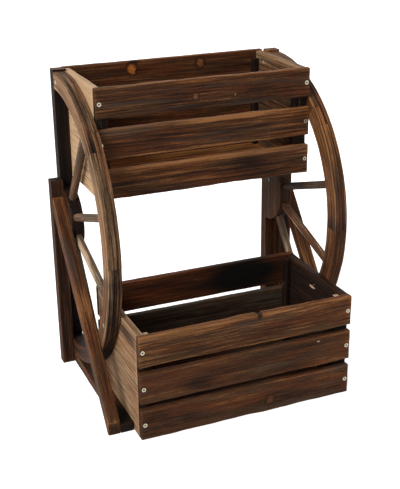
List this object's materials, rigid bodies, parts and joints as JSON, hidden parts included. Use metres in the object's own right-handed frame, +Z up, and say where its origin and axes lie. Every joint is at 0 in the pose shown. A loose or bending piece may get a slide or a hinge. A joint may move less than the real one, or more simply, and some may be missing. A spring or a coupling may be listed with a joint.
{
  "type": "flower_cart_stand",
  "caption": "Free-standing flower cart stand: a lower slatted planter box in front and an upper one held behind it between half cart wheels on A-shaped legs.",
  "frame": {"origin": "on the ground, under the middle of the whole stand's bounding box", "axes": "+X runs along the slats to the right as seen from the front, -Y is the front, +Z is up"},
  "size_m": [0.53, 0.406, 0.612],
  "materials": {
    "slat_wood": "burnt and brushed fir, open grain, thin clear oil",
    "panel_wood": "lightly burnt fir boards with broad figure",
    "wheel_wood": "burnt fir, sawn to a curve, smooth edges",
    "frame_wood": "burnt fir battens, reddish brown with dark latewood lines",
    "dowel_wood": "stained hardwood dowel, partly bare",
    "screw_steel": "pale zinc plating"
  },
  "bodies": {
    "root": {"base_rail_left": "frame_wood", "base_rail_right": "frame_wood", "box_to_wheel_screws": "screw_steel", "felloe_1_left": "wheel_wood", "felloe_1_right": "wheel_wood", "felloe_2_left": "wheel_wood", "felloe_2_right": "wheel_wood", "felloe_3_left": "wheel_wood", "felloe_3_right": "wheel_wood", "felloe_4_left": "wheel_wood", "felloe_4_right": "wheel_wood", "floor_screws": "screw_steel", "front_leg_left": "frame_wood", "front_leg_right": "frame_wood", "hub_left": "wheel_wood", "hub_right": "wheel_wood", "lower_back_slat_1": "slat_wood", "lower_back_slat_2": "slat_wood", "lower_back_slat_3": "slat_wood", "lower_corner_post_back_left": "frame_wood", "lower_corner_post_back_right": "frame_wood", "lower_corner_post_front_left": "frame_wood", "lower_corner_post_front_right": "frame_wood", "lower_end_panel_left": "panel_wood", "lower_end_panel_right": "panel_wood", "lower_floor_board_back": "panel_wood", "lower_floor_board_front": "panel_wood", "lower_front_slat_1": "slat_wood", "lower_front_slat_2": "slat_wood", "lower_front_slat_3": "slat_wood", "lower_slat_screws": "screw_steel", "post_left": "frame_wood", "post_right": "frame_wood", "rear_leg_left": "frame_wood", "rear_leg_right": "frame_wood", "side_frame_screws": "screw_steel", "spoke_1_left": "dowel_wood", "spoke_1_right": "dowel_wood", "spoke_2_left": "dowel_wood", "spoke_2_right": "dowel_wood", "spoke_3_left": "dowel_wood", "spoke_3_right": "dowel_wood", "spoke_4_left": "dowel_wood", "spoke_4_right": "dowel_wood", "upper_back_slat_1": "slat_wood", "upper_back_slat_2": "slat_wood", "upper_back_slat_3": "slat_wood", "upper_corner_post_back_left": "frame_wood", "upper_corner_post_back_right": "frame_wood", "upper_corner_post_front_left": "frame_wood", "upper_corner_post_front_right": "frame_wood", "upper_end_panel_left": "panel_wood", "upper_end_panel_right": "panel_wood", "upper_floor_board_back": "panel_wood", "upper_floor_board_front": "panel_wood", "upper_front_slat_1": "slat_wood", "upper_front_slat_2": "slat_wood", "upper_front_slat_3": "slat_wood", "upper_slat_screws": "screw_steel"}
  },
  "joints": []
}
